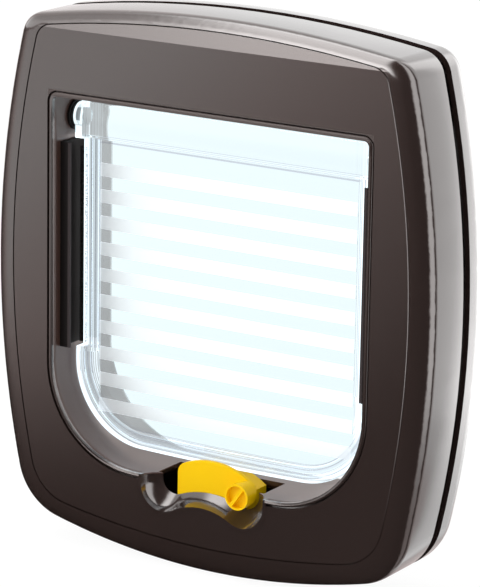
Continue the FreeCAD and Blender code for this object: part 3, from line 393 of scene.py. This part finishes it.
class CatFlapFinishes(bpy.types.PropertyGroup):
    """Colours and gloss of the moulded pieces."""
    brown: FloatVectorProperty(name="Brown", description="Colour of the frames and the cover plate",
                               subtype="COLOR", size=3, min=0.0, max=1.0, default=(0.028, 0.0185, 0.0165))
    gloss: FloatProperty(name="Gloss", description="Roughness of the glossy brown plastic",
                         subtype="FACTOR", min=0.0, max=1.0, default=0.16)
    yellow: FloatVectorProperty(name="Yellow", description="Colour of the lock lever",
                                subtype="COLOR", size=3, min=0.0, max=1.0, default=(1.0, 0.62, 0.0))
    dark: FloatVectorProperty(name="Dark", description="Colour of the bushes and the draught strips",
                              subtype="COLOR", size=3, min=0.0, max=1.0, default=(0.009, 0.0075, 0.0075))
    # Colour of the painted highlight on the strips' free edges.
    painted_tip_highlight: FloatVectorProperty(name="Dark tip", description="Colour of the strips' free edges",
                                  subtype="COLOR", size=3, min=0.0, max=1.0, default=(0.05, 0.04, 0.041))
    clear: FloatVectorProperty(name="Clear", description="Tint of the clear flap",
                               subtype="COLOR", size=3, min=0.0, max=1.0, default=(0.833, 0.965, 0.995))
    frost: FloatVectorProperty(name="Frost", description="Tint of the flap's frosted bands",
                               subtype="COLOR", size=3, min=0.0, max=1.0, default=(1.0, 1.0, 1.0))
    bands: IntProperty(name="Bands", description="Number of frosted bands", min=1, max=30, default=10)
    band_top: FloatProperty(name="Top band", description="Height of the first band's upper edge",
                            subtype="DISTANCE", unit="LENGTH", default=0.051)
    band_pitch: FloatProperty(name="Band pitch", description="Distance from one band to the next",
                              subtype="DISTANCE", unit="LENGTH", default=0.0122)
    band_half_width: FloatProperty(name="Band half width", description="Half the length of a band",
                                   subtype="DISTANCE", unit="LENGTH", default=0.0670)
    flap_plane: FloatProperty(name="Flap plane", description="Depth of the flap's middle plane",
                              subtype="DISTANCE", unit="LENGTH", default=-0.0094)
    field_depth: FloatProperty(name="Field depth", description="Half depth of the field and its bands",
                               subtype="DISTANCE", unit="LENGTH", default=0.00165)
    waist: FloatProperty(name="Waist", description="Half width of the flap above its foot",
                         subtype="DISTANCE", unit="LENGTH", default=0.0750)
    rim_inside: FloatProperty(name="Rim inside", description="Half width inside the stepped rim",
                              subtype="DISTANCE", unit="LENGTH", default=0.0676)
    rim_step: FloatProperty(name="Rim step", description="Width of one step of the rim",
                            subtype="DISTANCE", unit="LENGTH", default=0.00185)
    # Painted glow of the clear flap, drawn as emission: its strength and its shares in the bands and the
    # field.
    rim_glow: FloatProperty(name="Rim glow", description="Light that the clear rim gathers at its edge",
                            min=0.0, max=1.0, default=0.5)
    frost_glow: FloatProperty(name="Frost glow", description="Share of that light in the frosted bands",
                              subtype="FACTOR", min=0.0, max=1.0, default=0.66)
    field_glow: FloatProperty(name="Field glow", description="Share of that light in the clear field",
                              subtype="FACTOR", min=0.0, max=1.0, default=0.33)
    foot: FloatProperty(name="Foot", description="Half width of the flap's wide foot",
                        subtype="DISTANCE", unit="LENGTH", default=0.0790)
    foot_corner: FloatProperty(name="Foot corner", description="Radius of the foot's lower corners",
                               subtype="DISTANCE", unit="LENGTH", default=0.0370)
    foot_bottom: FloatProperty(name="Foot bottom", description="Height of the foot's lower edge",
                               subtype="DISTANCE", unit="LENGTH", default=-0.0794)
    foot_bow: FloatProperty(name="Foot bow", description="Rise of the lower edge per squared metre",
                            default=0.28)
    foot_start: FloatProperty(name="Foot start", description="Height where the wide foot starts",
                              subtype="DISTANCE", unit="LENGTH", default=-0.0356)
    header_bottom: FloatProperty(name="Header bottom", description="Height of the header's lower edge",
                                 subtype="DISTANCE", unit="LENGTH", default=0.0626)
    ledge_pitch: FloatProperty(name="Ledge pitch", description="Distance between the lines at the header",
                               subtype="DISTANCE", unit="LENGTH", default=0.0023)
    # Colour of the painted shade in the flap's lines and the rim's streaks.
    edge: FloatVectorProperty(name="Edge", description="Tint of the lines at the flap's steps",
                              subtype="COLOR", size=3, min=0.0, max=1.0, default=(0.42, 0.46, 0.55))
    # Reach of the painted highlight on the strips' free edges.
    strip_tip: FloatProperty(name="Strip tip", description="Half width inside which a strip's edge is paler",
                             subtype="DISTANCE", unit="LENGTH", default=0.0776)
    tunnel_half: FloatProperty(name="Tunnel half", description="Half width of the less polished part",
                               subtype="DISTANCE", unit="LENGTH", default=0.0840)
    sleeve_front: FloatProperty(name="Sleeve front", description="Depth where the wider rear sleeve starts",
                                subtype="DISTANCE", unit="LENGTH", default=-0.0060)
    tunnel_back: FloatProperty(name="Tunnel back", description="Depth where the less polished part ends",
                               subtype="DISTANCE", unit="LENGTH", default=0.0234)
    tunnel_front: FloatProperty(name="Tunnel front", description="Depth where the less polished part starts",
                                subtype="DISTANCE", unit="LENGTH", default=-0.0262)
    opening_half: FloatProperty(name="Opening half", description="Half width of the opening",
                                subtype="DISTANCE", unit="LENGTH", default=0.0817)
    opening_top: FloatProperty(name="Opening top", description="Height of the opening's upper edge",
                               subtype="DISTANCE", unit="LENGTH", default=0.0825)
    opening_bottom: FloatProperty(name="Opening bottom", description="Reach of the opening below the middle",
                                  subtype="DISTANCE", unit="LENGTH", default=0.0851)
    opening_corner: FloatProperty(name="Opening corner", description="Radius of the opening's lower corners",
                                  subtype="DISTANCE", unit="LENGTH", default=0.0447)
    lip: FloatProperty(name="Lip", description="Width of the lip around the opening",
                       subtype="DISTANCE", unit="LENGTH", default=0.0024)
    edge_round: FloatProperty(name="Edge round", description="Width of the softened edge of the lip",
                              subtype="DISTANCE", unit="LENGTH", default=0.0011)
    edge_back: FloatProperty(name="Edge back", description="Depth where the softened edge ends",
                             subtype="DISTANCE", unit="LENGTH", default=-0.0243)
    scoop_half: FloatProperty(name="Scoop half", description="Half width of the finger scoop at the lip",
                              subtype="DISTANCE", unit="LENGTH", default=0.0335)
    lean: FloatProperty(name="Lean", description="Slope of the plate's top part, which leans back",
                        min=0.0, max=1.0, default=0.17)
    lean_start: FloatProperty(name="Lean start", description="Height where the plate starts to lean back",
                              subtype="DISTANCE", unit="LENGTH", default=0.1133)
    lean_arc_drop: FloatProperty(name="Lean arc drop",
                                 description="Drop of the seam arc's centre below the middle",
                                 subtype="DISTANCE", unit="LENGTH", default=0.4449)
    lean_arc_top: FloatProperty(name="Lean arc top", description="Height of the seam arc in the middle",
                                subtype="DISTANCE", unit="LENGTH", default=0.1208)


class CatFlapPile(bpy.types.PropertyGroup):
    """The pile of the draught strips."""
    rows: IntProperty(name="Rows", description="Rows of fibres through the depth", min=1, max=12, default=5)
    pitch: FloatProperty(name="Pitch", description="Distance between fibres along the strip",
                         subtype="DISTANCE", unit="LENGTH", default=0.0007)
    fibre: FloatProperty(name="Fibre", description="Radius of one fibre at its root",
                         subtype="DISTANCE", unit="LENGTH", default=0.00028)
    scatter: FloatProperty(name="Scatter", description="How far a fibre may lean, in radians",
                           min=0.0, max=1.0, default=0.105)
    reach: FloatProperty(name="Reach", description="Share of the strip's gap that a fibre fills",
                         subtype="FACTOR", min=0.0, max=1.0, default=0.97)


class CatFlapStage(bpy.types.PropertyGroup):
    """Floor, lamps and camera."""
    eye: FloatVectorProperty(name="Eye", description="Place of the camera", subtype="XYZ", size=3,
                             unit="LENGTH", default=(0.7825, -1.2388, 0.3796))
    azimuth: FloatProperty(name="Azimuth", description="Turn of the view to the right of the front",
                           subtype="ANGLE", default=math.radians(32.24))
    elevation: FloatProperty(name="Elevation", description="Height of the view above level",
                             subtype="ANGLE", default=math.radians(14.59))
    roll: FloatProperty(name="Roll", description="Turn of the camera about its own axis",
                        subtype="ANGLE", default=math.radians(0.96))
    lens: FloatProperty(name="Lens", description="Focal length on a 36 mm sensor, in millimetres",
                        min=10.0, max=500.0, default=208.3)
    front_power: FloatProperty(name="Front power", description="Power of the soft lamp in front",
                               subtype="POWER", unit="POWER", min=0.0, default=15.0)
    top_power: FloatProperty(name="Top power", description="Power of the soft lamp above",
                             subtype="POWER", unit="POWER", min=0.0, default=4.0)
    ambient: FloatProperty(name="Ambient", description="Brightness of the surroundings as a light",
                           min=0.0, max=2.0, default=0.62)
    glow_behind: FloatProperty(name="Glow behind", description="Brightness mirrored from behind",
                               min=0.0, max=4.0, default=1.8)
    glow_beside: FloatProperty(name="Glow beside", description="Brightness mirrored from the right",
                               min=0.0, max=6.0, default=3.2)
    glow_above: FloatProperty(name="Glow above", description="Brightness mirrored from above on the left",
                              min=0.0, max=12.0, default=8.0)


class CATFLAP_OT_frames(bpy.types.Operator):
    """Show the two frames and the cover plate in glossy brown plastic"""
    bl_idname = "catflap.frames"
    bl_label = "Frames and cover plate"

    def execute(self, context):
        material = brown_plastic(context.scene.cat_flap_finishes)
        for node in ("front_frame", "front_cover_plate", "rear_frame"):
            smooth_copy(node, FRAME_BODY, material)
        return {"FINISHED"}


class CATFLAP_OT_flap(bpy.types.Operator):
    """Show the clear flap with its frosted bands"""
    bl_idname = "catflap.flap"
    bl_label = "Clear flap"

    def execute(self, context):
        material = clear_plastic(context.scene.cat_flap_finishes)
        smooth_copy("flap", FLAP_BODY, material)
        return {"FINISHED"}


class CATFLAP_OT_lever(bpy.types.Operator):
    """Show the yellow lock lever"""
    bl_idname = "catflap.lever"
    bl_label = "Lock lever"

    def execute(self, context):
        material = yellow_plastic(context.scene.cat_flap_finishes)
        smooth_copy("lock_lever", LEVER_BODY, material)
        return {"FINISHED"}


class CATFLAP_OT_bushes(bpy.types.Operator):
    """Show the two hinge bushes and the draught strips"""
    bl_idname = "catflap.bushes"
    bl_label = "Bushes and draught strips"

    def execute(self, context):
        material = dark_plastic(context.scene.cat_flap_finishes)
        for node in ("hinge_bush_left", "hinge_bush_right", "draught_strip_left",
                     "draught_strip_right"):
            smooth_copy(node, FRAME_BODY, material)
        return {"FINISHED"}


def pile_tree(material):
    """Rows of leaning fibres across the strip's gap, with named sizes and fixed seeds."""
    tree = bpy.data.node_groups.new("pile_rows", "GeometryNodeTree")
    face = tree.interface
    inputs = {}
    for label, kind in (("Rows", "NodeSocketInt"), ("Pitch", "NodeSocketFloat"),
                        ("Fibre", "NodeSocketFloat"), ("Scatter", "NodeSocketFloat"),
                        ("Length", "NodeSocketFloat"), ("Depth", "NodeSocketFloat"),
                        ("Height", "NodeSocketFloat"), ("Start", "NodeSocketVector"),
                        ("Side", "NodeSocketFloat")):
        inputs[label] = face.new_socket(label, in_out="INPUT", socket_type=kind).identifier
    face.new_socket("Geometry", in_out="OUTPUT", socket_type="NodeSocketGeometry")

    def add(kind, settings=None, values=None):
        node = tree.nodes.new(kind)
        for key, value in (settings or {}).items():
            setattr(node, key, value)
        for key, value in (values or {}).items():
            if isinstance(value, bpy.types.NodeSocket):
                tree.links.new(value, node.inputs[key])
            else:
                node.inputs[key].default_value = value
        return node

    def work(operation, first, second):
        return add("ShaderNodeMath", {"operation": operation}, {0: first, 1: second}).outputs[0]

    given = add("NodeGroupInput")
    size = {label: given.outputs[label] for label in inputs}
    columns = work("ADD", work("FLOOR", work("DIVIDE", size["Height"], size["Pitch"]), 0.0), 1.0)
    grid = add("GeometryNodeMeshGrid", {}, {"Size X": size["Depth"], "Size Y": size["Height"],
                                            "Vertices X": size["Rows"], "Vertices Y": columns})
    scatter = work("MULTIPLY", size["Scatter"], -1.0)
    least = add("ShaderNodeCombineXYZ", {}, {0: scatter, 1: scatter, 2: 0.0})
    most = add("ShaderNodeCombineXYZ", {}, {0: size["Scatter"], 1: size["Scatter"], 2: 0.0})
    lean = add("FunctionNodeRandomValue", {"data_type": "FLOAT_VECTOR"},
               {"Seed": 11, "Min": least.outputs[0], "Max": most.outputs[0]})
    shortest, longest = 0.86, 1.0
    stretch = add("FunctionNodeRandomValue", {"data_type": "FLOAT"}, {"Seed": 5, 2: shortest, 3: longest})
    fibre = add("GeometryNodeMeshCone", {}, {"Vertices": 4, "Side Segments": 1,
                                             "Radius Bottom": size["Fibre"],
                                             "Radius Top": work("MULTIPLY", size["Fibre"], 0.45),
                                             "Depth": size["Length"]})
    scale = add("ShaderNodeCombineXYZ", {}, {0: 1.0, 1: 1.0, 2: stretch.outputs[1]})
    spread = add("GeometryNodeInstanceOnPoints", {}, {"Points": grid.outputs["Mesh"],
                                                      "Instance": fibre.outputs["Mesh"],
                                                      "Rotation": lean.outputs[0],
                                                      "Scale": scale.outputs[0]})
    quarter = work("MULTIPLY", size["Side"], -math.pi / 2)
    turned = add("ShaderNodeCombineXYZ", {}, {0: 0.0, 1: quarter, 2: 0.0})
    stand = add("GeometryNodeTransform", {}, {"Geometry": spread.outputs[0], "Rotation": turned.outputs[0]})
    level = add("GeometryNodeTransform", {}, {"Geometry": stand.outputs[0],
                                              "Rotation": (math.pi / 2, 0.0, 0.0)})
    moved = add("GeometryNodeTransform", {}, {"Geometry": level.outputs[0], "Translation": size["Start"]})
    real = add("GeometryNodeRealizeInstances", {}, {0: moved.outputs[0]})
    painted = add("GeometryNodeSetMaterial", {}, {"Geometry": real.outputs[0], "Material": material})
    add("NodeGroupOutput", {}, {0: painted.outputs[0]})
    return tree, inputs


class CATFLAP_OT_pile(bpy.types.Operator):
    """Grow the pile between the edges of each draught strip"""
    bl_idname = "catflap.pile"
    bl_label = "Pile"

    def execute(self, context):
        sizes = context.scene.cat_flap_pile
        tree, inputs = pile_tree(pile_fibre())
        for side, name in ((-1.0, "left"), (1.0, "right")):
            low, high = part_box("brush_pile_" + name)
            carrier = bpy.data.objects.new("pile_carrier_" + name, bpy.data.meshes.new("pile_carrier"))
            context.scene.collection.objects.link(carrier)
            grown = carrier.modifiers.new("pile", "NODES")
            grown.node_group = tree
            size = high - low
            margin = sizes.fibre * 5.6
            values = {"Rows": sizes.rows, "Pitch": sizes.pitch, "Fibre": sizes.fibre,
                      "Scatter": sizes.scatter, "Length": size.x * sizes.reach,
                      "Depth": size.y - margin, "Height": size.z - margin,
                      "Start": tuple((low + high) / 2), "Side": side}
            for label, value in values.items():
                grown[inputs[label]] = value
            context.view_layer.update()
            finished = carrier.evaluated_get(context.evaluated_depsgraph_get())
            mesh = bpy.data.meshes.new_from_object(finished)
            bpy.data.objects.remove(carrier)
            piece = bpy.data.objects.new("pile_" + name, mesh)
            context.scene.collection.objects.link(piece)
            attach(piece, FRAME_BODY)
            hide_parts("brush_pile_" + name)
        return {"FINISHED"}


class CATFLAP_OT_fixings(bpy.types.Operator):
    """Show the screws and the lever's washer in plated steel"""
    bl_idname = "catflap.fixings"
    bl_label = "Screws and washer"

    def execute(self, context):
        material = plated_steel()
        for node in ("lever_washer", "lever_screw", "clamp_screw_1", "clamp_screw_2",
                     "clamp_screw_3", "clamp_screw_4"):
            smooth_copy(node, FRAME_BODY, material)
        return {"FINISHED"}


def sheet_of(name, corners, material):
    """A flat backdrop sheet from its corners."""
    mesh = bpy.data.meshes.new(name)
    mesh.from_pydata([tuple(corner) for corner in corners], [], [tuple(range(len(corners)))])
    mesh.materials.append(material)
    sheet = bpy.data.objects.new(name, mesh)
    bpy.context.scene.collection.objects.link(sheet)


def soft_lamp(name, place, width, height, power):
    """A rectangular soft lamp that faces the object and shows in no mirror."""
    data = bpy.data.lights.new(name, "AREA")
    data.shape = "RECTANGLE"
    data.size = width
    data.size_y = height
    data.energy = power
    lamp = bpy.data.objects.new(name, data)
    lamp.rotation_euler = (-Vector(place)).to_track_quat("-Z", "Y").to_euler()
    lamp.location = place
    lamp.visible_camera = False
    lamp.visible_transmission = False
    lamp.visible_glossy = False
    bpy.context.scene.collection.objects.link(lamp)


def mirror_ray(tree):
    """One for a mirrored ray; a refracted ray counts as glossy too, so it is taken off."""
    return tree.ray("Glossy") * (1.0 - tree.ray("Transmission"))


def studio_glow(tree, sizes, ground):
    """How bright and how warm the studio is where a glossy face mirrors it: bright behind the object,
    straight to its right and above on the left, dark in front on the right, paler and warmer on the ground
    far to the left. On the ground this glow is painted onto the floor: a painted pool of light far to the
    left and a painted shadow of the object close to it."""
    _, x, y, z = tree.place()
    reach = tree.math("SQRT", x * x + y * y)
    if ground:
        foot_x, foot_y = 0.1, -0.02
        aside, beyond = x - foot_x, y - foot_y
        near = tree.math("SQRT", aside * aside + beyond * beyond)
        across, away = aside / near, beyond / near
    else:
        across, away = x / reach, y / reach
    peak = tree.between(across, (0.0, 0.2), (0.42, 0.58))
    sides = tree.soft_step(across, -0.62, -0.44, 0.5, 0.8) + tree.soft_step(across, -0.4, 0.0) * 0.2
    behind = tree.soft_step(away, 0.3, 0.62) * sizes.glow_behind * (sides + peak * 0.8)
    beside = tree.between(away, (-0.68, -0.45), (-0.05, 0.3)) \
        * tree.soft_step(across, 0.5, 0.9) * sizes.glow_beside
    # Painted light and shadow on the floor: the ground's glow is dimmed close to the object and close to the
    # point below its right foot, a painted shadow, and rises far to the left, a painted pool of light.
    if ground:
        far = tree.soft_step(reach, 0.05, 0.5)
        beside = beside * tree.soft_step(reach, 0.15, 0.45, 0.25, 1.0)
        behind = behind * tree.soft_step(near, 0.08, 0.34, 0.45, 1.0)
        front = tree.math("MINIMUM", (0.2 - x * 2.8 + y) * far, 1.2)
        above = 0.0
    else:
        front = tree.soft_step(across, 0.3, -0.6, 0.05, 0.4)
        above = tree.soft_step(x, -0.62, -0.47, 0.2, 1.0) * tree.soft_step(x, -0.3, -0.05, 1.0, 0.0) \
            * tree.soft_step(y, 0.2, 0.5, 1.0, 0.0) * tree.soft_step(z, 0.0, 0.06) \
            * tree.soft_step(z, 0.14, 0.5, 1.0, 0.6) * sizes.glow_above
    front = tree.math("MAXIMUM", front, 0.02) * tree.soft_step(away, -0.6, 0.1, 1.0, 0.06)
    total = behind + beside + front + above
    dim = tree.soft_step(total, 0.6, 1.2, 1.0, 0.0)
    return total, tree.blend(dim, WHITE, (1.0, 0.87, 0.85, 1.0))


class CATFLAP_OT_stage(bpy.types.Operator):
    """Set the pale floor, the soft lamps, the white surroundings and the camera"""
    bl_idname = "catflap.stage"
    bl_label = "Stage and camera"

    def execute(self, context):
        sizes = context.scene.cat_flap_stage
        scene = context.scene
        floor_finish = Finish("pale_floor")
        floor_finish.set(Base_Color=(0.85, 0.85, 0.85, 1.0), Roughness=0.6)
        white = floor_finish.add("ShaderNodeEmission", {}, {
            "Color": WHITE, "Strength": 1.05 - floor_finish.ray("Transmission") * 0.17})
        seen = floor_finish.add("ShaderNodeMixShader", {}, {
            0: floor_finish.ray("Camera", "Transmission") * 0.9,
            1: Socket(floor_finish, floor_finish.shader.outputs[0]), 2: white})
        glow, warmth = studio_glow(floor_finish, sizes, True)
        room = floor_finish.add("ShaderNodeEmission", {}, {"Color": warmth, "Strength": glow})
        mixed = floor_finish.add("ShaderNodeMixShader", {}, {
            0: mirror_ray(floor_finish), 1: seen, 2: room})
        floor_finish.links.new(mixed.socket, floor_finish.output.inputs["Surface"])
        level = cad_bounds[0][2] - 0.0004
        reach = 6.0
        sheet_of("floor", [(-reach, -reach, level), (reach, -reach, level), (reach, reach, level),
                           (-reach, reach, level)], floor_finish.material)

        world = bpy.data.worlds.new("surroundings")
        scene.world = world
        world.use_nodes = True
        around = Tree(world.node_tree)
        back = around.nodes["Background"]
        seen_white = around.ray("Camera") + around.ray("Transmission") * 0.83
        mirrored = mirror_ray(around)
        spread = (1.0 - around.ray("Camera", "Transmission") - mirrored) * sizes.ambient
        glow, warmth = studio_glow(around, sizes, False)
        around.feed(back.inputs["Color"], around.blend(mirrored, WHITE, warmth))
        around.feed(back.inputs["Strength"], seen_white + mirrored * glow + spread)

        soft_lamp("front_lamp", (-0.9, -1.5, 1.1), 1.0, 1.0, sizes.front_power)
        soft_lamp("top_lamp", (-0.4, -0.05, 0.85), 0.9, 0.7, sizes.top_power)

        camera_data = bpy.data.cameras.new("photo_camera")
        camera_data.lens = sizes.lens
        camera_data.sensor_width = 36.0
        camera = bpy.data.objects.new("photo_camera", camera_data)
        azimuth, elevation, roll = sizes.azimuth, sizes.elevation, sizes.roll
        outward = Vector((math.sin(azimuth) * math.cos(elevation),
                          -math.cos(azimuth) * math.cos(elevation), math.sin(elevation)))
        right = Vector((math.cos(azimuth), math.sin(azimuth), 0.0))
        up = outward.cross(right)
        turned_right = right * math.cos(roll) + up * math.sin(roll)
        turned_up = up * math.cos(roll) - right * math.sin(roll)
        basis = Matrix((turned_right, turned_up, outward)).transposed()
        camera.matrix_world = Matrix.Translation(Vector(sizes.eye)) @ basis.to_4x4()
        scene.collection.objects.link(camera)
        scene.camera = camera
        scene.view_settings.view_transform = "Standard"
        return {"FINISHED"}


class CATFLAP_PT_sidebar(bpy.types.Panel):
    """Sizes, colours and build steps of the cat flap"""
    bl_idname = "CATFLAP_PT_sidebar"
    bl_label = "Cat flap"
    bl_space_type = "VIEW_3D"
    bl_region_type = "UI"
    bl_category = "Cat flap"

    def draw(self, context):
        column = self.layout.column()
        for group in (context.scene.cat_flap_finishes, context.scene.cat_flap_pile,
                      context.scene.cat_flap_stage):
            for name in group.bl_rna.properties.keys():
                if name not in ("rna_type", "name"):
                    column.prop(group, name)
        for step in BUILD_STEPS:
            column.operator(step.bl_idname)


GROUPS = (CatFlapFinishes, CatFlapPile, CatFlapStage)
BUILD_STEPS = (CATFLAP_OT_frames, CATFLAP_OT_flap, CATFLAP_OT_lever, CATFLAP_OT_bushes,
               CATFLAP_OT_pile, CATFLAP_OT_fixings, CATFLAP_OT_stage)


def register():
    for kind in GROUPS + BUILD_STEPS + (CATFLAP_PT_sidebar,):
        bpy.utils.register_class(kind)
    bpy.types.Scene.cat_flap_finishes = PointerProperty(type=CatFlapFinishes)
    bpy.types.Scene.cat_flap_pile = PointerProperty(type=CatFlapPile)
    bpy.types.Scene.cat_flap_stage = PointerProperty(type=CatFlapStage)


def unregister():
    del bpy.types.Scene.cat_flap_stage
    del bpy.types.Scene.cat_flap_pile
    del bpy.types.Scene.cat_flap_finishes
    for kind in reversed(GROUPS + BUILD_STEPS + (CATFLAP_PT_sidebar,)):
        bpy.utils.unregister_class(kind)


def main():
    register()
    for step in BUILD_STEPS:
        family, name = step.bl_idname.split(".")
        getattr(getattr(bpy.ops, family), name)()


if __name__ == "__main__":
    main()
